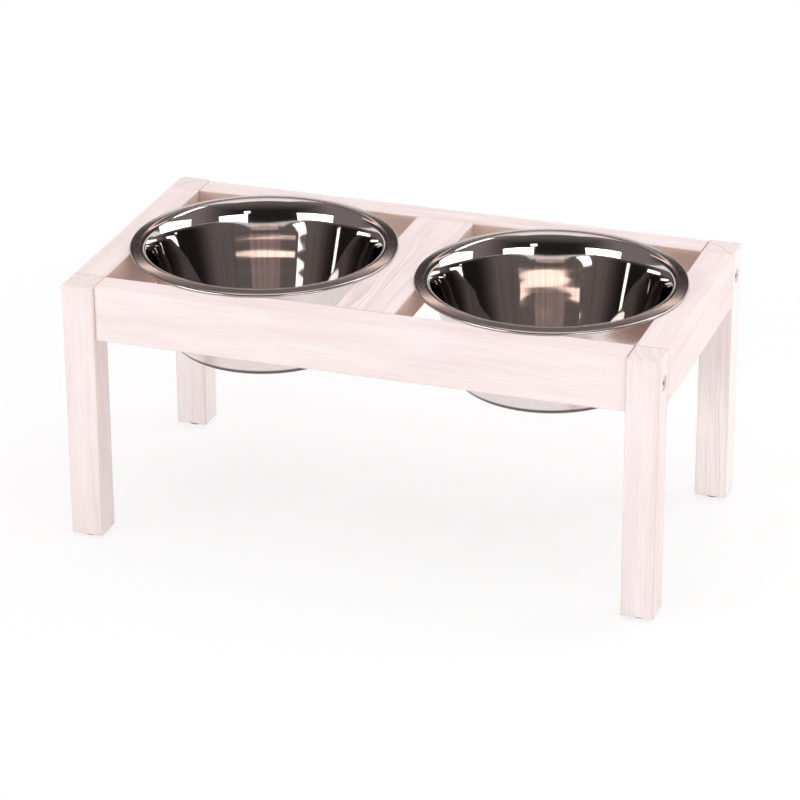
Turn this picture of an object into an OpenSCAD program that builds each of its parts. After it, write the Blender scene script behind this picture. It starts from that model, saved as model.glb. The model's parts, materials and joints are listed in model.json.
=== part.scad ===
// Raised feeder for a dog: a whitewashed pine stand that holds two stainless bowls by their rims.
// Millimetres. +X runs along the stand, +Z is up, the front is -Y, and the floor under the feet is Z 0.

/* [Stand] */
// Length of the stand over the legs
stand_l = 500; // [440:1:600]
// Width of the stand over the legs
stand_w = 260; // [225:1:320]
// Height of the wooden top above the floor
stand_h = 226; // [150:1:350]

/* [Timber] */
// Side of the square legs
leg_w = 27; // [25:0.5:36]
// Height of the long rails and the side rails
rail_h = 47; // [42:1:70]
// Thickness of the long rails
rail_t = 24; // [20:0.5:30]
// Thickness of the side rails
side_t = 27; // [22:0.5:36]
// Width of the flat rail between the bowls
middle_w = 50; // [40:1:90]
// Thickness of the flat rail between the bowls
middle_t = 22; // [16:0.5:30]
// Rounding of the timber's long edges
edge_r = 1.2; // [0.4:0.1:3]
// Bevel round the top of each leg
leg_bevel = 0.8; // [0.3:0.1:2]

/* [Bowls] */
// How far the rim reaches past the narrower way across the opening
rim_overlap = 12.5; // [8:0.5:18]
// Least gap between the bowl and the narrower way across the opening
bowl_gap = 0.8; // [0.4:0.1:5]
// Height of the rim's crown above the wood
rim_rise = 3.9; // [3.5:0.1:6]
// Degrees by which the rim slopes down from the lip to its outer edge
rim_slope = 11; // [5:0.5:13]
// Gap between the turned-down rim and the wood under it
seat_gap = 0.25; // [0.2:0.05:0.4]
// Depth of the bowl below the wooden top
bowl_depth = 84; // [50:1:110]
// Width of the bowl across the foot of its wall
base_d = 152; // [130:1:170]
// Thickness of the pressed steel
sheet_t = 0.8; // [0.6:0.1:1.2]
// Degrees from upright by which the mouth flares just under the lip
mouth_flare = 30; // [26:1:38]
// Depth below the wooden top of the corner that the mouth's curve rounds off
mouth_z = 5; // [3:0.2:8]
// Bend radius at the foot of the wall
base_bend = 6; // [3:0.5:14]
// Bend radius of the lip between the mouth and the rim
lip_bend = 5.4; // [4:0.1:6]
// Bend radius at the rim's outer edge
roll_bend = 1.5; // [0.8:0.1:1.6]

/* [Feet] */
// Diameter of a foot where it is stuck to the leg
foot_d = 17.5; // [10:0.5:22]
// Height of a foot
foot_h = 3.5; // [2.5:0.5:10]
// How much narrower a foot is at the floor, on each side
foot_taper = 0.4; // [0:0.1:1.5]
// Bevel round the bottom of a foot
foot_bevel = 0.4; // [0.2:0.1:1]

/* [Bolts and dowels] */
// Shank diameter of the connector bolts
bolt_d = 6; // [5:0.5:8]
// Head diameter of the connector bolts
head_d = 12; // [10:0.5:15]
// Head thickness of the connector bolts
head_t = 3.4; // [2.5:0.1:5]
// How far a bolt head lies below the leg's face
head_sink = 0.6; // [0.2:0.1:3]
// Bevel round the bolt head
head_bevel = 0.7; // [0.2:0.1:1.2]
// Width across the flats of the hexagon socket
socket_af = 4; // [3:0.5:6]
// Depth of the hexagon socket
socket_h = 2; // [1:0.1:2.4]
// Length of bolt that stands past the barrel nut
bolt_tip = 3; // [1:0.5:6]
// Diameter of the barrel nuts
nut_d = 10; // [9:0.5:14]
// Distance from a rail's end to the axis of its barrel nut
nut_inset = 20; // [14:0.5:40]
// How far a barrel nut lies below the rail's inner face
nut_sink = 1; // [0.2:0.1:3]
// Wood left between a barrel nut and the rail's outer face
nut_skin = 5; // [3:0.5:8]
// Width and depth of the screwdriver slot in a barrel nut
slot_w = 1.4; // [1:0.1:1.8]
// Diameter of the dowels
dowel_d = 8; // [6:0.5:10]
// Half the distance between the two dowels of a rail joint
dowel_spread = 14; // [11:0.5:17]
// Half the distance between the two dowels of a middle rail joint
middle_spread = 14; // [8:0.5:18]
// Distance from the leg's outer face to the axis of the side rail's dowels
side_dowel_inset = 9; // [7:0.5:11]
// Wood left between crossing dowel holes in a leg
dowel_web = 1.5; // [1:0.1:3]
// Depth of a side rail dowel in the leg
side_dowel_leg = 18; // [10:0.5:20]
// Depth of a dowel in the end of a rail
dowel_in_end = 18; // [12:0.5:30]
// Depth of a middle rail dowel in the long rail
dowel_in_rail = 14; // [8:0.5:16]
// Space left at the end of each dowel hole
dowel_end_gap = 0.5; // [0.2:0.1:1.5]
// Gap all round a bolt in its hole in the wood
bolt_gap = 0.3; // [0.1:0.05:0.6]
// Gap all round a dowel, a barrel nut or a thread in its hole
fit_gap = 0.05; // [0.02:0.01:0.1]

/* [Hidden] */
$fn = 96;
bend_steps = 8;
// Extra length that carries a cutter clear of a face
past = 1;

left = -1;
right = 1;
front = -1;
back = 1;

leg_x = stand_l / 2 - leg_w;
leg_y = stand_w / 2 - leg_w;
rail_y = leg_y + rail_t / 2;
rail_z = stand_h - rail_h / 2;

// The two openings, from the middle rail to a side rail and from rail to rail
opening_in = middle_w / 2;
opening_out = stand_l / 2 - side_t;
opening_half = min((opening_out - opening_in) / 2, leg_y);
bowl_x = (opening_in + opening_out) / 2;

head_seat = stand_l / 2 - head_sink - head_t;
nut_x = leg_x - nut_inset;
bolt_end = nut_x - nut_d / 2 - bolt_tip;
nut_l = rail_t - nut_sink - nut_skin;

// A dowel from the long rail stops short of the side rail's dowels, which cross it in the leg
rail_dowel_leg = leg_w - side_dowel_inset - dowel_d / 2 - dowel_web - dowel_end_gap;
side_dowel_x = stand_l / 2 - side_dowel_inset;
middle_dowel_z = stand_h - middle_t / 2;

WOOD = "#f3e3df";
STEEL = "#a9a4a2";
BLACK = "#1d1b1b";
ZINC = "#b9b7b4";
BEECH = "#d9b98c";

// Corner pieces are drawn at the back right and mirrored to their own corner
module at_x(side) {
    if (side == left) mirror([1, 0, 0]) children();
    else children();
}

module at_y(side) {
    if (side == front) mirror([0, 1, 0]) children();
    else children();
}

module at_corner(x_side, y_side) {
    at_x(x_side) at_y(y_side) children();
}

// A rod along +X or +Y that starts at a point
module rod_x(start, d, l) {
    translate(start) rotate([0, 90, 0]) cylinder(d = d, h = l);
}

module rod_y(start, d, l) {
    translate(start) rotate([-90, 0, 0]) cylinder(d = d, h = l);
}

// A rectangle with rounded corners, as the planed section of a piece of timber
module section(a, b) {
    square([a - 2 * edge_r, b], center = true);
    square([a, b - 2 * edge_r], center = true);
    for (x = [-1, 1], y = [-1, 1])
        translate([x * (a / 2 - edge_r), y * (b / 2 - edge_r)]) circle(r = edge_r);
}

// Timber that lies along X or Y, centred on its length
module bar_x(l, y, z) {
    rotate([90, 0, 90]) linear_extrude(l, center = true) section(y, z);
}

module bar_y(l, x, z) {
    rotate([90, 0, 0]) linear_extrude(l, center = true) section(x, z);
}

// Upright slab whose two top edges bevel what it is intersected with
module bevel_roof() {
    wide = leg_w / 2 + past;
    rotate([90, 0, 0]) linear_extrude(leg_w + 2 * past, center = true) polygon([
        [-wide, 0], [wide, 0],
        [wide, stand_h - leg_bevel - past], [leg_w / 2 - leg_bevel, stand_h],
        [leg_bevel - leg_w / 2, stand_h], [-wide, stand_h - leg_bevel - past]
    ]);
}

// Holes that the leg and the long rail share, for the bolt, and each for its own half of the dowels
module bolt_hole() {
    rod_x([bolt_end - past, rail_y, rail_z], bolt_d + 2 * bolt_gap, head_seat + past - bolt_end + past);
}

module rail_dowels(deep, wide) {
    for (z = [-dowel_spread, dowel_spread])
        rod_x([leg_x - dowel_in_end - deep, rail_y, rail_z + z],
              dowel_d + 2 * wide, dowel_in_end + rail_dowel_leg + 2 * deep);
}

module side_dowels(deep, wide) {
    for (z = [-dowel_spread, dowel_spread])
        rod_y([side_dowel_x, leg_y - dowel_in_end - deep, rail_z + z],
              dowel_d + 2 * wide, dowel_in_end + side_dowel_leg + 2 * deep);
}

module middle_dowels(deep, wide) {
    for (x = [-middle_spread, middle_spread])
        rod_y([x, leg_y - dowel_in_end - deep, middle_dowel_z],
              dowel_d + 2 * wide, dowel_in_end + dowel_in_rail + 2 * deep);
}

module nut_hole() {
    rod_y([nut_x, leg_y - past, rail_z], nut_d + 2 * fit_gap, past + nut_sink + nut_l + fit_gap);
}

module leg(x_side, y_side) {
    color(WOOD) at_corner(x_side, y_side) difference() {
        translate([leg_x + leg_w / 2, leg_y + leg_w / 2, 0]) intersection() {
            translate([0, 0, foot_h]) linear_extrude(stand_h) section(leg_w, leg_w);
            bevel_roof();
            rotate(90) bevel_roof();
        }
        bolt_hole();
        rod_x([head_seat, rail_y, rail_z], head_d + 2 * bolt_gap, leg_w);
        rail_dowels(dowel_end_gap, fit_gap);
        side_dowels(dowel_end_gap, fit_gap);
    }
}

module side_rail(x_side) {
    color(WOOD) at_x(x_side) difference() {
        translate([stand_l / 2 - side_t / 2, 0, rail_z]) bar_y(2 * leg_y, side_t, rail_h);
        for (y_side = [front, back]) at_y(y_side) side_dowels(dowel_end_gap, fit_gap);
    }
}

module long_rail(y_side) {
    color(WOOD) at_y(y_side) difference() {
        translate([0, rail_y, rail_z]) bar_x(2 * leg_x, rail_t, rail_h);
        for (x_side = [left, right]) at_x(x_side) {
            bolt_hole();
            nut_hole();
            rail_dowels(dowel_end_gap, fit_gap);
        }
        middle_dowels(dowel_end_gap, fit_gap);
    }
}

module middle_rail() {
    color(WOOD) difference() {
        translate([0, 0, stand_h - middle_t / 2]) bar_y(2 * leg_y, middle_w, middle_t);
        for (y_side = [front, back]) at_y(y_side) middle_dowels(dowel_end_gap, fit_gap);
    }
}

// Bent sheet in section: a path of straight runs with a bend radius at each corner, and half the
// sheet's thickness on either side of it
function unit(v) = v / norm(v);
function left_of(a, b) = let (d = unit(b - a)) [-d.y, d.x];
function turned(v, angle) = [v.x * cos(angle) - v.y * sin(angle), v.x * sin(angle) + v.y * cos(angle)];
function turn_sign(path, i) = sign(cross(path[i] - path[i - 1], path[i + 1] - path[i]));

function shifted(path, s) = let (last = len(path) - 1) [
    for (i = [0 : last]) let (
        before = left_of(path[max(i, 1) - 1], path[max(i, 1)]),
        after = left_of(path[min(i, last - 1)], path[min(i, last - 1) + 1])
    ) path[i] + (before + after) * s / (1 + before * after)
];

function bend(a, corner, b, r) = let (
    u = unit(a - corner),
    v = unit(b - corner),
    half = acos(u * v) / 2,
    centre = corner + unit(u + v) * r / sin(half),
    arm = corner + u * r / tan(half) - centre,
    sweep = sign(cross(corner - a, b - corner)) * (180 - 2 * half)
) [for (k = [0 : bend_steps]) centre + turned(arm, sweep * k / bend_steps)];

function sheet_side(path, radii, s) = let (p = shifted(path, s), last = len(path) - 1) [
    p[0],
    for (i = [1 : last - 1]) each bend(p[i - 1], p[i], p[i + 1], radii[i] - s * turn_sign(path, i)),
    p[last]
];

function reversed(list) = [for (i = [len(list) - 1 : -1 : 0]) list[i]];

function bent_sheet(path, radii, t) =
    concat(sheet_side(path, radii, t / 2), reversed(sheet_side(path, radii, -t / 2)));

// Pressed bowl: flat base, sloping wall, a mouth that flares in one long curve, a crowned lip, and a rim
// that falls to a turned-down edge
module bowl(x_side) {
    rim_r = opening_half + rim_overlap - sheet_t / 2;
    base_z = sheet_t / 2 - bowl_depth;
    // The lip bends about a centre under its crown, from the top of the mouth to the rim
    flare = [sin(mouth_flare), cos(mouth_flare)];
    lip_centre = [opening_half - bowl_gap - sheet_t / 2 + lip_bend, rim_rise - sheet_t / 2 - lip_bend];
    lip_start = lip_centre + lip_bend * [-flare.y, flare.x];
    lip = lip_start + flare * lip_bend * tan((90 - mouth_flare + rim_slope) / 2);
    // The mouth's curve takes up its run from the wall to the lip, but for half the sheet's thickness
    mouth_run = (lip_start.y + mouth_z) / flare.y;
    mouth = lip_start - flare * mouth_run;
    wall_flare = atan((mouth.x - base_d / 2) / (mouth.y - base_z));
    mouth_bend = (mouth_run - sheet_t / 2) / tan((mouth_flare - wall_flare) / 2);
    path = [
        [0, base_z],
        [base_d / 2, base_z],
        mouth,
        lip,
        [rim_r, lip.y - (rim_r - lip.x) * tan(rim_slope)],
        [rim_r, seat_gap]
    ];
    radii = [0, base_bend, mouth_bend, lip_bend, roll_bend, 0];
    color(STEEL) translate([x_side * bowl_x, 0, stand_h])
        rotate_extrude() polygon(bent_sheet(path, radii, sheet_t));
}

// Black stick-on foot, a little narrower at the floor
module foot(x_side, y_side) {
    top_r = foot_d / 2;
    low_r = top_r - foot_taper;
    color(BLACK) at_corner(x_side, y_side) translate([leg_x + leg_w / 2, leg_y + leg_w / 2, 0])
        rotate_extrude() polygon([
            [0, 0], [low_r - foot_bevel, 0], [low_r, foot_bevel], [top_r, foot_h], [0, foot_h]
        ]);
}

// Connector bolt: bevelled flat head with a hexagon socket, and a plain shank into the barrel nut
module frame_bolt(x_side, y_side) {
    head_r = head_d / 2;
    socket_d = socket_af / cos(30);
    color(ZINC) at_corner(x_side, y_side) translate([head_seat, rail_y, rail_z]) rotate([0, 90, 0]) difference() {
        union() {
            rotate_extrude() polygon([
                [0, 0], [head_r, 0], [head_r, head_t - head_bevel], [head_r - head_bevel, head_t], [0, head_t]
            ]);
            translate([0, 0, bolt_end - head_seat]) cylinder(d = bolt_d, h = head_seat - bolt_end + head_t / 2);
        }
        translate([0, 0, head_t - socket_h]) cylinder(d = socket_d, h = socket_h + past, $fn = 6);
    }
}

// Barrel nut across the rail, with a cross bore for the bolt and a slot to turn it by
module barrel_nut(x_side, y_side) {
    color(ZINC) at_corner(x_side, y_side) difference() {
        rod_y([nut_x, leg_y + nut_sink, rail_z], nut_d, nut_l);
        rod_x([nut_x - nut_d, rail_y, rail_z], bolt_d + 2 * fit_gap, 2 * nut_d);
        translate([nut_x, leg_y + nut_sink, rail_z]) cube([2 * nut_d, 2 * slot_w, slot_w], center = true);
    }
}

module rail_dowel_pair(x_side, y_side) {
    color(BEECH) at_corner(x_side, y_side) rail_dowels(0, 0);
}

module side_dowel_pair(x_side, y_side) {
    color(BEECH) at_corner(x_side, y_side) side_dowels(0, 0);
}

module middle_dowel_pair(y_side) {
    color(BEECH) at_y(y_side) middle_dowels(0, 0);
}

leg(left, front);  // leg_front_left
leg(right, front);  // leg_front_right
leg(left, back);  // leg_back_left
leg(right, back);  // leg_back_right
side_rail(left);  // side_rail_left
side_rail(right);  // side_rail_right
long_rail(front);  // front_rail
long_rail(back);  // back_rail
middle_rail();
bowl(left);  // bowl_left
bowl(right);  // bowl_right
foot(left, front);  // foot_front_left
foot(right, front);  // foot_front_right
foot(left, back);  // foot_back_left
foot(right, back);  // foot_back_right
frame_bolt(left, front);  // frame_bolt_front_left
frame_bolt(right, front);  // frame_bolt_front_right
frame_bolt(left, back);  // frame_bolt_back_left
frame_bolt(right, back);  // frame_bolt_back_right
barrel_nut(left, front);  // barrel_nut_front_left
barrel_nut(right, front);  // barrel_nut_front_right
barrel_nut(left, back);  // barrel_nut_back_left
barrel_nut(right, back);  // barrel_nut_back_right
rail_dowel_pair(left, front);  // rail_dowels_front_left
rail_dowel_pair(right, front);  // rail_dowels_front_right
rail_dowel_pair(left, back);  // rail_dowels_back_left
rail_dowel_pair(right, back);  // rail_dowels_back_right
side_dowel_pair(left, front);  // side_dowels_front_left
side_dowel_pair(right, front);  // side_dowels_front_right
side_dowel_pair(left, back);  // side_dowels_back_left
side_dowel_pair(right, back);  // side_dowels_back_right
middle_dowel_pair(front);  // middle_dowels_front
middle_dowel_pair(back);  // middle_dowels_back
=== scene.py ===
"""Looks of a raised dog feeder: a whitewashed pine stand with two pressed steel bowls.

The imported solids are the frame. The timber, the feet and the fasteners keep their solids and get their
finish here, and each bowl gets a smooth pressed shell of its own. Blender's units are metres. +X runs along
the stand, +Z is up and the front is -Y.
"""
import json
import math

import bpy
import numpy as np
from mathutils import Euler, Matrix, Vector


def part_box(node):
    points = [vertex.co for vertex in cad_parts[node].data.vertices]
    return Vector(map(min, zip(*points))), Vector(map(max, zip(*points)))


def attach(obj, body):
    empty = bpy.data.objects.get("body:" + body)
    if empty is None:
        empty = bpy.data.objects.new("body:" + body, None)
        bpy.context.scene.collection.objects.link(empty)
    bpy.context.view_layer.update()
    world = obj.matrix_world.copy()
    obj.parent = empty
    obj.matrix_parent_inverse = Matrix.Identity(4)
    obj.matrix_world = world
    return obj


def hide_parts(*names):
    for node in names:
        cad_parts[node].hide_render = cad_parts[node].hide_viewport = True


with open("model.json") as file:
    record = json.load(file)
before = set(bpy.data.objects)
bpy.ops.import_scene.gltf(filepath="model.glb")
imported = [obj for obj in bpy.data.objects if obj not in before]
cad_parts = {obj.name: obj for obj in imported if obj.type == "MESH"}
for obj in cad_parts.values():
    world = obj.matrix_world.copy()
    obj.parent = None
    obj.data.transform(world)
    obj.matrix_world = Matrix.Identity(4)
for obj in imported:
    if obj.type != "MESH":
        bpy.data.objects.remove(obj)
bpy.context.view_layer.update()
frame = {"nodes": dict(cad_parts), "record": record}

MM = 0.001

# Camera: fitted to the corners of the stand in the photograph, with no lens shift
PICTURE_PX = 800
FOCAL_PX = 3618.6
SENSOR_MM = 36.0
CAMERA_AZIMUTH = 18.945
CAMERA_ELEVATION = 24.291
CAMERA_ROLL = 0.264
CAMERA_DISTANCE = 3263.2 * MM
CAMERA_AIM = Vector((-79.5, 215.2, 0.0)) * MM

# Bowl sizes that the box of the solid does not give, in millimetres, with the slopes in degrees
SHEET = 0.8
RIM_RISE = 3.9
RIM_SLOPE = 11.0
SEAT_GAP = 0.25
RIM_WIDTH = 13.3
BASE_R = 76.0
MOUTH_FLARE = 30.0
MOUTH_DEPTH = 5.0
BASE_BEND = 6.0
LIP_BEND = 5.4
ROLL_BEND = 1.5

# Press marks: the side of a bowl where the sheet was drawn in most, how far its wall bulges in millimetres,
# the depth of its ripples as a share of their pitch, and the depth, the pitch and the folds of finer ones
DRAWN_WAY = math.radians(109)
BARREL = 0.12
RIPPLE_SHARE = 0.0022
FINE_RIPPLE = 0.006
FINE_PITCH = 8.0
FINE_FOLDS = 7
# Each bowl's ripples: the height at which one starts, from the wooden top, their pitch, and their folds round
# the bowl
BOWLS = {
    "bowl_left": (-34, 15, 2),
    "bowl_right": (-49, 38, 8),
}

# Fineness of the bowls' meshes: steps in a bend, millimetres in a straight run, and steps round the axis
BEND_STEPS = 14
RUN_STEP = 2.5
TURNS = 288


def linear(hex_colour):
    """An sRGB colour such as "#f0e0d0" as linear red, green, blue and alpha."""
    srgb = np.array([int(hex_colour[i:i + 2], 16) for i in (1, 3, 5)]) / 255.0
    rgb = np.where(srgb <= 0.04045, srgb / 12.92, ((srgb + 0.055) / 1.055) ** 2.4)
    return (*rgb.tolist(), 1.0)


def grey(value):
    """One grey as a colour, for the stops of a ramp."""
    return (value, value, value, 1.0)


def add(tree, kind, inputs=(), stops=(), **settings):
    """Adds one node. Inputs map a socket to a value or to another node's output, stops are a ramp's
    positions and greys or colours, and settings are the node's own properties."""
    made = tree.nodes.new(kind)
    for name, value in settings.items():
        setattr(made, name, value)
    for socket, value in dict(inputs).items():
        if isinstance(value, bpy.types.NodeSocket):
            tree.links.new(value, made.inputs[socket])
        else:
            made.inputs[socket].default_value = value
    for i, (position, colour) in enumerate(stops):
        ramp = made.color_ramp.elements
        stop = ramp[i] if i < 2 else ramp.new(position)
        stop.position = position
        stop.color = colour
    return made


def new_material(name):
    """A material with its principled shader, returned as (material, node tree, shader)."""
    material = bpy.data.materials.new(name)
    material.use_nodes = True
    tree = material.node_tree
    return material, tree, tree.nodes["Principled BSDF"]


# Pressed bowls

def run_points(start, end):
    """Points along a straight run, evenly spaced at about RUN_STEP, without its last point."""
    count = max(1, int(np.linalg.norm(end - start) / RUN_STEP))
    share = np.arange(count)[:, None] / count
    return start + (end - start) * share


def bent_line(path, radii):
    """A path of straight runs with an arc of the given radius at each inner corner.

    An arc starts and ends at radius / tan(half the corner's angle) from the corner, and its centre lies on
    the corner's bisector at radius / sin(half the angle)."""
    pieces = []
    here = path[0]
    for before, corner, after, radius in zip(path[:-2], path[1:-1], path[2:], radii):
        to_before = (before - corner) / np.linalg.norm(before - corner)
        to_after = (after - corner) / np.linalg.norm(after - corner)
        half = math.acos(float(to_before @ to_after)) / 2
        bisector = (to_before + to_after) / np.linalg.norm(to_before + to_after)
        centre = corner + bisector * radius / math.sin(half)
        arc_start = corner + to_before * radius / math.tan(half)
        arm = arc_start - centre
        turn = np.sign(np.cross(corner - before, after - corner)) * (math.pi - 2 * half)
        angle = turn * np.arange(BEND_STEPS) / BEND_STEPS
        arc = centre + np.stack([arm[0] * np.cos(angle) - arm[1] * np.sin(angle),
                                 arm[0] * np.sin(angle) + arm[1] * np.cos(angle)], axis=1)
        pieces += [run_points(here, arc_start), arc]
        here = corner + to_after * radius / math.tan(half)
    pieces += [run_points(here, path[-1]), path[-1:]]
    return np.concatenate(pieces)


def sheet_faces(path, radii, thickness):
    """The two faces of a bent sheet, half its thickness to the left and to the right of its middle line.

    Each point moves along the line's normal, which is the tangent of its neighbours turned by a quarter."""
    middle = bent_line(path, radii)
    tangent = np.gradient(middle, axis=0)
    tangent /= np.linalg.norm(tangent, axis=1)[:, None]
    normal = np.stack([-tangent[:, 1], tangent[:, 0]], axis=1)
    return middle + normal * thickness / 2, middle - normal * thickness / 2


def revolved_mesh(name, profile, centre, sway):
    """A closed surface of revolution about a vertical axis through centre, in millimetres.

    Point (i, j) lies at angle 2 pi j / TURNS and at the profile's i-th radius and height, and sway adds a
    small radial step by angle and height. The profile starts and ends on the axis, and both ends close
    in a pole."""
    angle = 2 * np.pi * np.arange(TURNS) / TURNS
    radii, heights = profile[1:-1, :1], profile[1:-1, 1:]
    radius = radii + sway(angle[None, :], heights, radii)
    height = np.broadcast_to(heights, radius.shape)
    rings = np.stack([radius * np.cos(angle), radius * np.sin(angle), height], axis=-1)
    poles = np.array([[0, 0, profile[0, 1]], [0, 0, profile[-1, 1]]])
    points = (np.concatenate([rings.reshape(-1, 3), poles]) + centre) * MM

    rows = len(profile) - 2
    index = np.arange(rows * TURNS).reshape(rows, TURNS)
    ahead = np.roll(index, -1, axis=1)
    quads = np.stack([index[:-1], ahead[:-1], ahead[1:], index[1:]], axis=-1).reshape(-1, 4)
    first = np.stack([np.full(TURNS, rows * TURNS), ahead[0], index[0]], axis=-1)
    last = np.stack([np.full(TURNS, rows * TURNS + 1), index[-1], ahead[-1]], axis=-1)

    mesh = bpy.data.meshes.new(name)
    mesh.from_pydata(points.tolist(), [], quads.tolist() + first.tolist() + last.tolist())
    mesh.polygons.foreach_set("use_smooth", np.ones(len(mesh.polygons), bool))
    mesh.update()
    return mesh


def pressed_bowl(name, start, pitch, folds, inside, outside):
    """One bowl: the sheet's inner face from the base out to the rim's edge, round the edge, and back under.

    The middle line runs from the axis along the flat base, up the sloping wall, out through the flaring
    mouth, over the lip and down the sloping rim to its turned-down edge. The lip bends about a centre under
    its crown, and the mouth's curve takes up all of its run from the wall to the lip but for half the
    sheet's thickness, so its radius is that run / tan(half the turn)."""
    low, high = (np.array(corner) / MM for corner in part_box(name))
    axis = np.array([(low[0] + high[0]) / 2, (low[1] + high[1]) / 2, 0.0])
    top = high[2] - RIM_RISE
    rim_r = (high[0] - low[0]) / 2 - SHEET / 2
    base_z = low[2] - top + SHEET / 2
    flare, slope = math.radians(MOUTH_FLARE), math.radians(RIM_SLOPE)
    way = np.array([math.sin(flare), math.cos(flare)])
    lip_centre = np.array([rim_r - RIM_WIDTH + LIP_BEND, RIM_RISE - SHEET / 2 - LIP_BEND])
    lip_start = lip_centre + LIP_BEND * np.array([-way[1], way[0]])
    lip = lip_start + way * LIP_BEND * math.tan((math.pi / 2 - flare + slope) / 2)
    mouth_run = (lip_start[1] + MOUTH_DEPTH) / way[1]
    mouth = lip_start - way * mouth_run
    wall_flare = math.atan2(mouth[0] - BASE_R, mouth[1] - base_z)
    mouth_bend = (mouth_run - SHEET / 2) / math.tan((flare - wall_flare) / 2)
    path = np.array([
        [0, base_z], [BASE_R, base_z], mouth, lip,
        [rim_r, lip[1] - (rim_r - lip[0]) * math.tan(slope)], [rim_r, SEAT_GAP + SHEET / 2],
    ])
    radii = [BASE_BEND, mouth_bend, LIP_BEND, ROLL_BEND]
    upper, lower = sheet_faces(path, radii, SHEET)
    upper[0, 0] = lower[0, 0] = 0.0
    half_turn = np.pi * np.arange(1, BEND_STEPS) / BEND_STEPS
    edge = path[-1] + SHEET / 2 * np.stack([np.cos(half_turn), -np.sin(half_turn)], axis=1)
    profile = np.concatenate([upper, edge, lower[::-1]])

    wall_low, wall_high = base_z + BASE_BEND, -2 * MOUTH_DEPTH

    def sway(angle, height, radius):
        """Press marks: a slight barrel, and sine ripples of less than a tenth of a millimetre on the side
        where the sheet was drawn in most, in folds about that side. All fade out towards the base and the
        mouth."""
        share = np.clip((height - wall_low) / (wall_high - wall_low), 0, 1)
        fade = np.where(radius > BASE_R - BASE_BEND, np.sin(np.pi * share) ** 2, 0)
        turn = angle - DRAWN_WAY
        drawn = np.clip(np.cos(turn), 0, 1) ** 2
        ripple = RIPPLE_SHARE * pitch * np.sin(2 * np.pi * (height - start) / pitch) * np.cos(folds * turn)
        fine = FINE_RIPPLE * np.sin(2 * np.pi * height / FINE_PITCH + FINE_FOLDS * turn)
        return fade * (drawn * (ripple + fine) + BARREL)

    mesh = revolved_mesh(name + "_shell", profile, axis + [0, 0, top], sway)
    mesh.materials.append(inside)
    mesh.materials.append(outside)
    inner_rows = len(upper) - 2
    rows = len(profile) - 3
    under = np.repeat(np.arange(rows) > inner_rows, TURNS)
    slots = np.concatenate([under, np.zeros(TURNS, bool), np.ones(TURNS, bool)])
    mesh.polygons.foreach_set("material_index", slots.astype(np.int32))
    shell = bpy.data.objects.new(name + "_shell", mesh)
    bpy.context.scene.collection.objects.link(shell)
    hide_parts(name)
    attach(shell, name)


# Finishes

# Timber: the way the grain runs in each piece, where the heart of the tree lay from the piece's middle in
# millimetres across the grain, how strongly the rings show, how much painted light whitens it, which lifts
# the back legs out of their shade, and the way to the bowls for the rails, whose faces that way get painted
# shade
TIMBER = {
    "leg_front_left": ("Z", (38, -46), 0.2, 0.0, (0, 0, 0)),
    "leg_front_right": ("Z", (-52, -30), 0.25, 0.0, (0, 0, 0)),
    "leg_back_left": ("Z", (-36, 34), 0.35, 0.9, (0, 0, 0)),
    "leg_back_right": ("Z", (44, 52), 0.45, 0.9, (0, 0, 0)),
    "side_rail_left": ("Y", (-58, 34), 0.25, 0.0, (1, 0, 0)),
    "side_rail_right": ("Y", (40, -62), 0.25, 0.0, (-1, 0, 0)),
    "front_rail": ("X", (-64, 30), 0.25, 0.0, (0, 1, 0)),
    "back_rail": ("X", (52, -48), 0.8, 0.0, (0, -1, 0)),
    "middle_rail": ("Y", (22, -70), 0.75, 0.0, (1, 0, 0)),
}
# Turns that bring each grain direction to Z
GRAIN_TURN = {
    "X": Euler((0, -math.pi / 2, 0)),
    "Y": Euler((math.pi / 2, 0, 0)),
    "Z": Euler((0, 0, 0)),
}
# Sizes of the grain: the spacing of the year rings in millimetres, how unevenly they lie, in rings, how far
# they bend aside, and the width and length of those bends, of the breaks in the rings, of the fibres and of
# the clouds in the stain. Fibres are drawn in bundles, because single ones are too fine to show
RING_MM = 3.0
UNEVEN_RINGS = 2.6
ASIDE_MM = 5.0
BEND_MM = (45, 240)
BREAK_MM = (9, 110)
FIBRE_MM = (0.8, 45)
CLOUD_MM = (13, 100)


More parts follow.
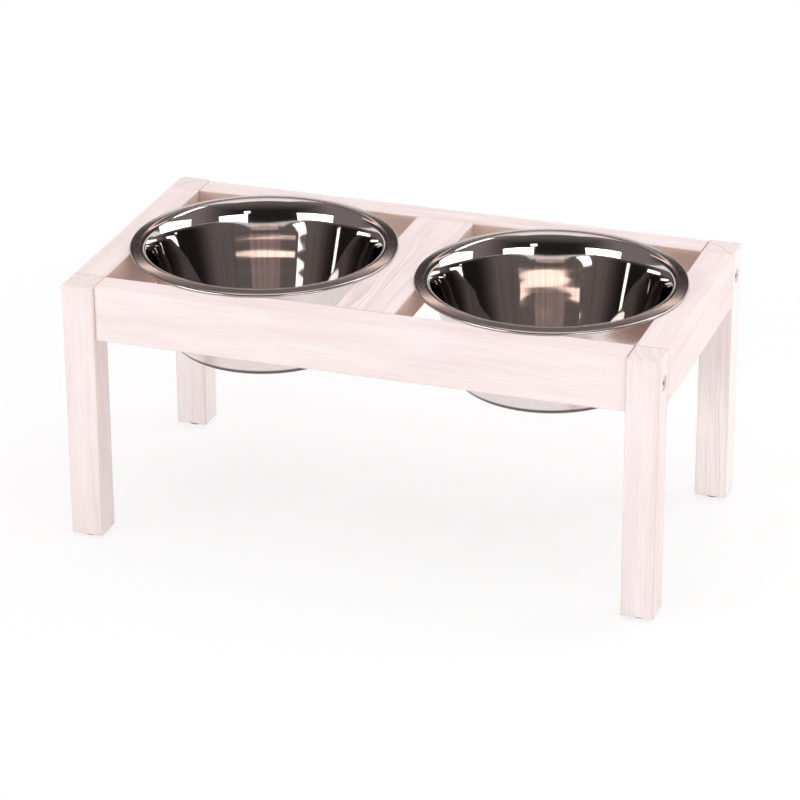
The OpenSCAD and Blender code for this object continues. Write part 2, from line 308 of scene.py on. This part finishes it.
def whitewashed_pine(node, grain, heart, ring_share, painted_light_share, to_bowl):
    """Planed pine under a thin white stain: a pale pink-white ground with fine, broken, darker year rings
    that run as streaks on the faces and as arcs on the cut ends, and painted warm shade on the rails' faces
    turned to the bowls.

    The rings are cylinders about the heart, in millimetres, bent a little by noise that is long along the
    grain. A ring darkens slowly through its growth and ends in a sharp line."""
    material, tree, shader = new_material("whitewashed_pine_" + node)
    low, high = (Vector(corner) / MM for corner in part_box(node))
    middle, half = (low + high) / 2, (high - low) / 2
    turn = GRAIN_TURN[grain].to_matrix()
    grain_way = turn.transposed() @ Vector((0, 0, 1))
    place = add(tree, "ShaderNodeTexCoord").outputs
    along = add(tree, "ShaderNodeMapping", {
        "Vector": place["Object"], "Scale": (1 / MM,) * 3, "Rotation": GRAIN_TURN[grain],
        "Location": Vector((heart[0], heart[1], 0)) - turn @ middle}).outputs["Vector"]

    def noise_along(source, across_mm, along_mm, detail, result="Fac"):
        """Noise with features across_mm wide and along_mm long in the grain's direction."""
        at = add(tree, "ShaderNodeVectorMath", {
            0: source, 1: (1 / across_mm, 1 / across_mm, 1 / along_mm)}, operation="MULTIPLY").outputs[0]
        return add(tree, "ShaderNodeTexNoise", {"Vector": at, "Scale": 1.0, "Detail": detail}).outputs[result]

    def faces_along(way, both_ways):
        """1 on faces that look along the given way, or against it too."""
        dot = add(tree, "ShaderNodeVectorMath", {0: place["Normal"], 1: way},
                  operation="DOT_PRODUCT").outputs["Value"]
        if both_ways:
            dot = add(tree, "ShaderNodeMath", {0: dot}, operation="ABSOLUTE").outputs[0]
        return add(tree, "ShaderNodeMapRange", {"Value": dot, "From Min": 0.75, "From Max": 0.95}).outputs[0]

    # Slow bend of the fibres to either side
    aside = noise_along(along, *BEND_MM, 2.0, "Color")
    bent = add(tree, "ShaderNodeVectorMath", {0: aside, 1: (2 * ASIDE_MM, 2 * ASIDE_MM, 0), 2: along},
               operation="MULTIPLY_ADD").outputs[0]

    # Uneven year rings, which fade in and out along the grain
    across = add(tree, "ShaderNodeVectorMath", {0: bent, 1: (1, 1, 0)}, operation="MULTIPLY").outputs[0]
    radius = add(tree, "ShaderNodeVectorMath", {0: across}, operation="LENGTH").outputs["Value"]
    uneven = add(tree, "ShaderNodeTexNoise", {"W": radius, "Scale": 0.5 / RING_MM, "Detail": 2.0},
                 noise_dimensions="1D").outputs[0]
    year = add(tree, "ShaderNodeMath", {0: uneven, 1: UNEVEN_RINGS}, operation="MULTIPLY").outputs[0]
    year = add(tree, "ShaderNodeMath", {0: radius, 1: 1 / RING_MM, 2: year},
               operation="MULTIPLY_ADD").outputs[0]
    year = add(tree, "ShaderNodeMath", {0: year}, operation="FRACT").outputs[0]
    late = add(tree, "ShaderNodeValToRGB", {0: year}, stops=(
        (0.0, grey(0.0)), (0.4, grey(0.08)), (0.86, grey(1.0)), (0.97, grey(0.0)))).outputs["Color"]
    broken = add(tree, "ShaderNodeMapRange", {
        "Value": noise_along(bent, *BREAK_MM, 3.0), "From Min": 0.38, "From Max": 0.64}).outputs[0]
    lines = add(tree, "ShaderNodeMath", {0: late, 1: broken}, operation="MULTIPLY").outputs[0]
    line_share = add(tree, "ShaderNodeMath", {0: lines, 1: ring_share}, operation="MULTIPLY").outputs[0]

    # Fine fibres, and clouds of thicker and thinner stain
    fibre = noise_along(bent, *FIBRE_MM, 2.0)
    fibre_share = add(tree, "ShaderNodeMapRange", {
        "Value": fibre, "From Min": 0.5, "From Max": 0.8, "To Max": 0.6}).outputs[0]
    cloud = noise_along(bent, *CLOUD_MM, 4.0)
    wood = add(tree, "ShaderNodeValToRGB", {0: cloud}, stops=(
        (0.32, linear("#f8f0f0")), (0.5, linear("#f6eae9")), (0.7, linear("#f2e4e2")))).outputs["Color"]

    # Cut ends show their rings as thin grey lines
    end_lines = add(tree, "ShaderNodeMath", {0: late, 1: 0.45}, operation="MULTIPLY").outputs[0]
    end_grain = add(tree, "ShaderNodeMix", {0: end_lines, 6: linear("#f3e8e7"), 7: linear("#c9bcb9")},
                    data_type="RGBA").outputs[2]

    # Painted shade: the rails' faces turned to the bowls get warmer, darker wood, standing in for the shade
    # in the narrow gaps between rail and bowl
    painted_gap_shade = add(tree, "ShaderNodeMapRange", {
        "Value": cloud, "From Min": 0.3, "From Max": 0.6, "To Min": 0.65, "To Max": 0.95}).outputs[0]
    painted_gap_shade = add(tree, "ShaderNodeMath", {0: painted_gap_shade, 1: faces_along(to_bowl, node == "middle_rail")},
               operation="MULTIPLY").outputs[0]

    # Arrises: along each axis the distance from the middle less the half size is 0 on a face and negative
    # inside, so the second largest of the three is near 0 only along an edge
    inset = add(tree, "ShaderNodeMapping", {
        "Vector": place["Object"], "Scale": (1 / MM,) * 3, "Location": -middle}).outputs["Vector"]
    inset = add(tree, "ShaderNodeVectorMath", {0: inset}, operation="ABSOLUTE").outputs[0]
    inset = add(tree, "ShaderNodeVectorMath", {0: inset, 1: half}, operation="SUBTRACT").outputs[0]
    x, y, z = add(tree, "ShaderNodeSeparateXYZ", {0: inset}).outputs
    larger = add(tree, "ShaderNodeMath", {0: x, 1: y}, operation="MAXIMUM").outputs[0]
    smaller = add(tree, "ShaderNodeMath", {0: x, 1: y}, operation="MINIMUM").outputs[0]
    second = add(tree, "ShaderNodeMath", {0: larger, 1: z}, operation="MINIMUM").outputs[0]
    second = add(tree, "ShaderNodeMath", {0: second, 1: smaller}, operation="MAXIMUM").outputs[0]
    # A warm darker line along the edges: partly stain rubbed thin on the arrises, partly painted shade of the
    # rounded edge
    arris_wear_and_shade = add(tree, "ShaderNodeMapRange", {"Value": second, "From Min": -1.5, "From Max": -0.2}).outputs[0]
    arris_wear_and_shade = add(tree, "ShaderNodeMath", {0: arris_wear_and_shade, 1: cloud}, operation="MULTIPLY").outputs[0]

    # The layers over the ground, each by its share
    layers = [
        # Painted light: a whiter ground that lifts the back legs out of the shade the rails and bowls cast on
        # them
        (painted_light_share, linear("#fff8f7")),
        (line_share, linear("#dac7c1")),
        (fibre_share, linear("#e6d6d3")),
        (faces_along(grain_way, True), end_grain),
        # Painted shade in the gaps between rails and bowls
        (painted_gap_shade, linear("#ecd0c3")),
        (arris_wear_and_shade, linear("#e6d0c3")),
    ]
    # Painted shade: a thin dark line where a long rail meets its legs, standing in for the shadow in the
    # joint
    if grain == "X":
        painted_joint_shade = add(tree, "ShaderNodeMapRange", {
            "Value": x, "From Min": -0.9, "From Max": -0.3, "To Max": 0.55}).outputs[0]
        layers.append((painted_joint_shade, linear("#9c8272")))
    for share, colour in layers:
        wood = add(tree, "ShaderNodeMix", {0: share, 6: wood, 7: colour}, data_type="RGBA").outputs[2]
    tree.links.new(wood, shader.inputs["Base Color"])

    # Hard ring lines stand a few hundredths of a millimetre proud of the softer wood, and are glossier
    height = add(tree, "ShaderNodeMath", {0: fibre, 1: 0.6, 2: lines}, operation="MULTIPLY_ADD").outputs[0]
    relief = add(tree, "ShaderNodeBump", {
        "Height": height, "Strength": 0.5, "Distance": 0.04 * MM}).outputs[0]
    gloss = add(tree, "ShaderNodeMapRange", {"Value": lines, "To Min": 0.62, "To Max": 0.5}).outputs[0]
    tree.links.new(gloss, shader.inputs["Roughness"])
    tree.links.new(relief, shader.inputs["Normal"])
    shader.inputs["Specular IOR Level"].default_value = 0.3
    return material


# Steel: the colour, the least and most roughness, the spacing of the polishing rings in millimetres, and the
# shares of the dark foot line and of the drawing streaks. Real polishing rings are too fine to show, so these
# are coarser
POLISHED = ("#d4d0cd", 0.02, 0.06, 0.8, 0.0, 0.24)
SATIN = ("#e8dddb", 0.2, 0.34, 0.6, 0.9, 0.12)
# Heights of a bowl's marks in millimetres: its underside, the dark foot line, and where the drawing streaks
# come in and go out
BASE_Z = 142.0
FOOT_LINE = (BASE_Z + 4.2, BASE_Z + 5.6)
STREAKS_IN = (BASE_Z + 5, BASE_Z + 20)
STREAKS_OUT = (BASE_Z + 78, BASE_Z + 58)
# Brushed rim: the radius in millimetres from which it starts, the roughness that it adds, and its share of
# duller metal
RIM_FROM = 99.0
RIM_ROUGH = 0.12
RIM_DULL = 0.72
# Widths of the drawing streaks and of the polishing smears in millimetres
STREAK_MM = 4.0
SMEAR_MM = 35.0


def stainless_steel(name, axis, colour, least_rough, most_rough, ring_mm, foot_share, streak_share):
    """Pressed stainless sheet: a neutral pale grey metal. The polishing wheel leaves faint rings about the
    bowl's axis, which soften the reflections here and there. The rim is brushed and duller, drawing leaves
    uneven upright streaks on the wall, and the bend at the wall's foot has a thin dark line."""
    material, tree, shader = new_material(name)
    place = add(tree, "ShaderNodeTexCoord").outputs["Object"]
    local = add(tree, "ShaderNodeMapping", {
        "Vector": place, "Scale": (1 / MM,) * 3,
        "Location": (-axis[0] / MM, -axis[1] / MM, 0)}).outputs["Vector"]
    flat = add(tree, "ShaderNodeVectorMath", {0: local, 1: (1, 1, 0)}, operation="MULTIPLY").outputs[0]
    radius = add(tree, "ShaderNodeVectorMath", {0: flat}, operation="LENGTH").outputs["Value"]
    x, y, height = add(tree, "ShaderNodeSeparateXYZ", {0: local}).outputs
    on_rim = add(tree, "ShaderNodeMapRange", {
        "Value": radius, "From Min": RIM_FROM, "From Max": RIM_FROM + 2}).outputs[0]

    # Polishing rings and smears, and the rougher rim
    ring_at = add(tree, "ShaderNodeCombineXYZ", {"X": radius, "Y": height}).outputs[0]
    rings = add(tree, "ShaderNodeTexNoise", {
        "Vector": ring_at, "Scale": 1 / ring_mm, "Detail": 3.0}).outputs[0]
    smears = add(tree, "ShaderNodeTexNoise", {
        "Vector": local, "Scale": 1 / SMEAR_MM, "Detail": 3.0}).outputs[0]
    both = add(tree, "ShaderNodeMath", {0: rings, 1: smears}, operation="MULTIPLY").outputs[0]
    rough = add(tree, "ShaderNodeMapRange", {
        "Value": both, "From Min": 0.12, "From Max": 0.45, "To Min": least_rough,
        "To Max": most_rough}).outputs[0]
    rough = add(tree, "ShaderNodeMath", {0: on_rim, 1: RIM_ROUGH, 2: rough},
                operation="MULTIPLY_ADD").outputs[0]
    relief = add(tree, "ShaderNodeBump", {
        "Height": rings, "Strength": 0.15, "Distance": 0.004 * MM}).outputs[0]
    tree.links.new(rough, shader.inputs["Roughness"])
    tree.links.new(relief, shader.inputs["Normal"])

    # The foot line, on the bend alone
    foot = add(tree, "ShaderNodeMapRange", {
        "Value": height, "From Min": FOOT_LINE[0], "From Max": FOOT_LINE[1], "To Min": foot_share,
        "To Max": 0.0}).outputs[0]
    bend = add(tree, "ShaderNodeMapRange", {
        "Value": radius, "From Min": BASE_R - BASE_BEND, "From Max": BASE_R - BASE_BEND + 3}).outputs[0]
    foot = add(tree, "ShaderNodeMath", {0: foot, 1: bend}, operation="MULTIPLY").outputs[0]

    # Drawing streaks, by the bearing about the axis
    bearing = add(tree, "ShaderNodeMath", {0: y, 1: x}, operation="ARCTAN2").outputs[0]
    streak = add(tree, "ShaderNodeTexNoise", {"W": bearing, "Scale": BASE_R / STREAK_MM, "Detail": 5.0},
                 noise_dimensions="1D").outputs[0]
    streak = add(tree, "ShaderNodeMapRange", {
        "Value": streak, "From Min": 0.4, "From Max": 0.75, "To Max": streak_share}).outputs[0]
    for start, end in (STREAKS_IN, STREAKS_OUT):
        on_wall = add(tree, "ShaderNodeMapRange", {
            "Value": height, "From Min": start, "From Max": end}).outputs[0]
        streak = add(tree, "ShaderNodeMath", {0: streak, 1: on_wall}, operation="MULTIPLY").outputs[0]

    duller = add(tree, "ShaderNodeMath", {0: on_rim, 1: RIM_DULL}, operation="MULTIPLY").outputs[0]
    steel = linear(colour)
    for share, mark in ((foot, "#4a3d38"), (streak, "#8f8a88"), (duller, "#aca7a4")):
        steel = add(tree, "ShaderNodeMix", {0: share, 6: steel, 7: linear(mark)}, data_type="RGBA").outputs[2]
    tree.links.new(steel, shader.inputs["Base Color"])
    shader.inputs["Metallic"].default_value = 1.0
    return material


def black_rubber():
    """Moulded black rubber: near black and matt, with a fine grained skin that greys it in patches."""
    material, tree, shader = new_material("moulded_black_rubber")
    place = add(tree, "ShaderNodeTexCoord").outputs["Object"]
    skin = add(tree, "ShaderNodeTexNoise", {
        "Vector": place, "Scale": 1 / (0.4 * MM), "Detail": 2.0}).outputs[0]
    dust = add(tree, "ShaderNodeTexNoise", {
        "Vector": place, "Scale": 1 / (5 * MM), "Detail": 3.0}).outputs[0]
    colour = add(tree, "ShaderNodeValToRGB", {0: dust}, stops=(
        (0.35, linear("#161515")), (0.7, linear("#2b2928")))).outputs["Color"]
    relief = add(tree, "ShaderNodeBump", {"Height": skin, "Strength": 0.4, "Distance": 0.05 * MM}).outputs[0]
    tree.links.new(colour, shader.inputs["Base Color"])
    tree.links.new(relief, shader.inputs["Normal"])
    shader.inputs["Roughness"].default_value = 0.68
    return material


def zinc_plate():
    """Bright zinc plating on steel: a pale cool metal, clouded where the plating is thin."""
    material, tree, shader = new_material("bright_zinc_plate")
    place = add(tree, "ShaderNodeTexCoord").outputs["Object"]
    clouds = add(tree, "ShaderNodeTexNoise", {
        "Vector": place, "Scale": 1 / (2.5 * MM), "Detail": 4.0}).outputs[0]
    colour = add(tree, "ShaderNodeValToRGB", {0: clouds}, stops=(
        (0.35, linear("#cfcfcd")), (0.65, linear("#e9e7e3")))).outputs["Color"]
    rough = add(tree, "ShaderNodeMapRange", {"Value": clouds, "To Min": 0.2, "To Max": 0.45}).outputs[0]
    tree.links.new(colour, shader.inputs["Base Color"])
    tree.links.new(rough, shader.inputs["Roughness"])
    shader.inputs["Metallic"].default_value = 1.0
    return material


def turned_beech():
    """Turned beech dowel: warm tan with short dark flecks."""
    material, tree, shader = new_material("turned_beech")
    place = add(tree, "ShaderNodeTexCoord").outputs["Object"]
    fleck = add(tree, "ShaderNodeTexNoise", {
        "Vector": place, "Scale": 1 / (1.2 * MM), "Detail": 2.0}).outputs[0]
    colour = add(tree, "ShaderNodeValToRGB", {0: fleck}, stops=(
        (0.4, linear("#d9b98c")), (0.7, linear("#b98f60")))).outputs["Color"]
    tree.links.new(colour, shader.inputs["Base Color"])
    shader.inputs["Roughness"].default_value = 0.6
    return material


def finish_solids():
    """Gives every carried-over solid its finish: each timber its own grain, the rest by material slot."""
    by_slot = {"black_rubber": black_rubber(), "zinc_plated_steel": zinc_plate(), "beech": turned_beech()}
    for part in frame["record"]["subparts"]:
        node, slot = part["node"], part["material_slot"]
        if node in TIMBER:
            finish = whitewashed_pine(node, *TIMBER[node])
        elif slot in by_slot:
            finish = by_slot[slot]
        else:
            continue
        mesh = frame["nodes"][node].data
        mesh.materials.clear()
        mesh.materials.append(finish)


def make_bowls():
    """The two shells, each with its own press marks, polished inside and paler and satin below the rim."""
    for name, ripples in BOWLS.items():
        low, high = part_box(name)
        axis = (low + high) / 2
        inside = stainless_steel("polished_stainless_steel_" + name, axis, *POLISHED)
        outside = stainless_steel("satin_stainless_steel_" + name, axis, *SATIN)
        pressed_bowl(name, *ripples, inside, outside)


finish_solids()
make_bowls()


# Stage

# Floor: its radius and the radii between which it turns all white, in metres, and its share of plain white
# nearer in
FLOOR_REACH = 4.0
FADE_FROM = 0.35
FADE_TO = 0.8
WHITE_SHARE = 0.82

# Studio: the elevations between which the white horizon gives way to the dome, in degrees, how many times
# lower that is away from straight behind, and the strength of the glow
HORIZON = (7, 10)
HORIZON_DROP = 2.4
GLOW = 3.2

# Lamps: the point that they look at, between the bowls, and their distance from it, in metres
LAMP_AIM = Vector((0, 0, 0.2))
LAMP_DISTANCE = 3.2
# Each lamp's azimuth from the front, elevation, width and height in degrees, its radiance, and whether it
# shows in the steel
SOFTBOXES = {
    "overhead_softbox": (19, 86, 44, 56, 1.0, True),
    "overhead_fill": (19, 80, 60, 60, 1.25, False),
    "front_left_softbox": (-35, 11, 38, 14, 5.5, True),
    "front_right_softbox": (51, 9, 30, 12, 5.3, True),
    "right_rear_low_softbox": (122, 11, 44, 15, 2.4, True),
    "right_rear_softbox": (121, 46, 15, 30, 3.6, True),
    "strip_softbox": (36, 19.5, 6, 5, 3.6, True),
}


def make_camera():
    """The photograph's camera. Back is the way from the stand to the camera, and the roll turns it
    about that."""
    azimuth, elevation = math.radians(CAMERA_AZIMUTH), math.radians(CAMERA_ELEVATION)
    back = Vector((math.sin(azimuth) * math.cos(elevation), -math.cos(azimuth) * math.cos(elevation),
                   math.sin(elevation)))
    level_right = (-back).cross(Vector((0, 0, 1))).normalized()
    level_down = (-back).cross(level_right)
    roll = math.radians(CAMERA_ROLL)
    right = level_right * math.cos(roll) + level_down * math.sin(roll)
    up = level_right * math.sin(roll) - level_down * math.cos(roll)
    camera = bpy.data.objects.new("camera", bpy.data.cameras.new("camera"))
    camera.data.sensor_width = SENSOR_MM
    camera.data.lens = FOCAL_PX / PICTURE_PX * SENSOR_MM
    camera.data.clip_end = 100.0
    turn = Matrix((right, up, back)).transposed()
    camera.matrix_world = Matrix.Translation(back * CAMERA_DISTANCE + CAMERA_AIM) @ turn.to_4x4()
    bpy.context.scene.collection.objects.link(camera)
    bpy.context.scene.camera = camera


def softbox(name, azimuth, elevation, wide, tall, radiance, shows):
    """A rectangular lamp that spans wide by tall degrees, seen from the point that it looks at. Its power is
    pi times its area times its radiance."""
    a, e = math.radians(azimuth), math.radians(elevation)
    away = Vector((math.sin(a) * math.cos(e), -math.cos(a) * math.cos(e), math.sin(e)))
    lamp = bpy.data.lights.new(name, "AREA")
    lamp.shape = "RECTANGLE"
    lamp.size = 2 * LAMP_DISTANCE * math.tan(math.radians(wide / 2))
    lamp.size_y = 2 * LAMP_DISTANCE * math.tan(math.radians(tall / 2))
    lamp.energy = math.pi * lamp.size * lamp.size_y * radiance
    box = bpy.data.objects.new(name, lamp)
    box.location = LAMP_AIM + away * LAMP_DISTANCE
    box.rotation_mode = "QUATERNION"
    box.rotation_quaternion = (-away).to_track_quat("-Z", "Y")
    box.visible_camera = False
    box.visible_glossy = shows
    bpy.context.scene.collection.objects.link(box)


def sines(*degrees):
    """The sines of elevations, which are the heights of those ways on a sphere of radius 1."""
    return np.sin(np.radians(degrees)).tolist()


def make_world():
    """A white horizon under a dim warm grey studio that is darker in front. Behind the stand, opposite the
    camera, it is dark above the horizon, and a paler column with a warm glow across it and a bright crown
    stands over that."""
    world = bpy.data.worlds.new("studio")
    bpy.context.scene.world = world
    world.use_nodes = True
    tree = world.node_tree
    way = add(tree, "ShaderNodeTexCoord").outputs["Generated"]
    up = add(tree, "ShaderNodeSeparateXYZ", {0: way}).outputs["Z"]
    level = add(tree, "ShaderNodeVectorMath", {0: way, 1: (1, 1, 0)}, operation="MULTIPLY").outputs[0]
    level = add(tree, "ShaderNodeVectorMath", {0: level}, operation="NORMALIZE").outputs[0]
    azimuth = math.radians(CAMERA_AZIMUTH)
    behind = add(tree, "ShaderNodeVectorMath", {0: level, 1: (-math.sin(azimuth), math.cos(azimuth), 0)},
                 operation="DOT_PRODUCT").outputs["Value"]
    # Heights from an arch that is highest straight behind, for the glow
    arch = add(tree, "ShaderNodeMath", {0: behind, 1: -0.056, 2: up}, operation="MULTIPLY_ADD").outputs[0]

    def patch(height, foot, top, side):
        """1 in a soft-edged patch behind the stand and 0 round it. It comes in between the two heights of
        foot, goes out between the two of top, and ends between the two angles of side, in degrees from
        straight behind."""
        share = 1.0
        inner, outer = np.cos(np.radians(side)).tolist()
        for value, start, end in ((height, *foot), (height, *reversed(top)), (behind, outer, inner)):
            step = add(tree, "ShaderNodeMapRange", {"Value": value, "From Min": start, "From Max": end},
                       interpolation_type="SMOOTHSTEP").outputs[0]
            share = add(tree, "ShaderNodeMath", {0: share, 1: step}, operation="MULTIPLY").outputs[0]
        return share

    # The dome is lit from overhead and from behind
    low, high = sines(15, 55)
    overhead = add(tree, "ShaderNodeMapRange", {"Value": up, "From Min": low, "From Max": high},
                   interpolation_type="SMOOTHSTEP").outputs[0]
    rear = add(tree, "ShaderNodeMapRange", {
        "Value": behind, "From Min": -0.95, "From Max": -0.25, "To Min": 0.1},
        interpolation_type="SMOOTHSTEP").outputs[0]
    lit = add(tree, "ShaderNodeMath", {0: rear, 1: overhead}, operation="MAXIMUM").outputs[0]

    # The horizon is highest straight behind
    drop = add(tree, "ShaderNodeMapRange", {
        "Value": behind, "From Min": 0.0, "From Max": 0.8, "To Min": HORIZON_DROP, "To Max": 1.0},
        interpolation_type="SMOOTHSTEP").outputs[0]
    lift = add(tree, "ShaderNodeMath", {0: up, 1: drop}, operation="MULTIPLY").outputs[0]
    white_top, dome_foot = sines(*HORIZON)
    horizon = add(tree, "ShaderNodeMapRange", {"Value": lift, "From Min": dome_foot, "From Max": white_top},
                  interpolation_type="SMOOTHSTEP").outputs[0]

    dark = patch(up, sines(8, 11), sines(24, 28), (50, 75))
    column = patch(up, sines(26, 29), sines(36, 39), (30, 34))
    crown = patch(up, sines(50, 54), sines(64, 70), (30, 34))
    glow = patch(arch, (0.435, 0.438), (0.4685, 0.4715), (62, 66))
    layers = [
        (lit, "#857b7b", 1.0),
        (dark, "#453d3d", 1.0),
        (column, "#b8a3a2", 1.0),
        (crown, "#f8dad6", 1.0),
        (glow, "#ffe4d8", GLOW),
        (horizon, "#ffffff", 1.0),
    ]
    studio = linear("#000000")
    for share, colour, strength in layers:
        light = [strength * part for part in linear(colour)]
        studio = add(tree, "ShaderNodeMix", {0: share, 6: studio, 7: light}, data_type="RGBA").outputs[2]
    tree.links.new(studio, tree.nodes["Background"].inputs["Color"])


def floor_finish():
    """White paper: a matt white that keeps the shadow of the stand, mixed with plain white for the camera
    and for reflections, and all white further out. It lets the eye through from below."""
    material = bpy.data.materials.new("white_paper")
    material.use_nodes = True
    tree = material.node_tree
    tree.nodes.clear()
    place = add(tree, "ShaderNodeTexCoord").outputs["Object"]
    out = add(tree, "ShaderNodeVectorMath", {0: place}, operation="LENGTH").outputs["Value"]
    fade = add(tree, "ShaderNodeMapRange", {
        "Value": out, "From Min": FADE_FROM, "From Max": FADE_TO, "To Min": WHITE_SHARE},
        interpolation_type="SMOOTHSTEP").outputs[0]
    ray = add(tree, "ShaderNodeLightPath").outputs
    seen = ray["Is Camera Ray"]
    for kind in ("Is Glossy Ray", "Is Transmission Ray"):
        seen = add(tree, "ShaderNodeMath", {0: seen, 1: ray[kind]}, operation="MAXIMUM").outputs[0]
    share = add(tree, "ShaderNodeMath", {0: seen, 1: fade}, operation="MULTIPLY").outputs[0]
    paper = add(tree, "ShaderNodeBsdfDiffuse", {"Color": linear("#fbfbfb")}).outputs[0]
    white = add(tree, "ShaderNodeEmission", {"Color": linear("#ffffff"), "Strength": 1.0}).outputs[0]
    top = add(tree, "ShaderNodeMixShader", {0: share, 1: paper, 2: white}).outputs[0]
    below = add(tree, "ShaderNodeNewGeometry").outputs["Backfacing"]
    through = add(tree, "ShaderNodeBsdfTransparent").outputs[0]
    both = add(tree, "ShaderNodeMixShader", {0: below, 1: top, 2: through}).outputs[0]
    add(tree, "ShaderNodeOutputMaterial", {"Surface": both})
    return material


def make_floor():
    """A round sheet under the stand: a fan of triangles round the middle."""
    angle = 2 * np.pi * np.arange(TURNS) / TURNS
    ring = np.stack([FLOOR_REACH * np.cos(angle), FLOOR_REACH * np.sin(angle), 0 * angle], axis=1)
    index = np.arange(TURNS)
    faces = np.stack([np.full(TURNS, TURNS), index, np.roll(index, -1)], axis=1)
    mesh = bpy.data.meshes.new("floor")
    mesh.from_pydata(ring.tolist() + [[0, 0, 0]], [], faces.tolist())
    mesh.materials.append(floor_finish())
    floor = bpy.data.objects.new("floor", mesh)
    bpy.context.scene.collection.objects.link(floor)


make_camera()
make_world()
make_floor()
for softbox_name, settings in SOFTBOXES.items():
    softbox(softbox_name, *settings)

bpy.context.scene.view_settings.view_transform = "Standard"
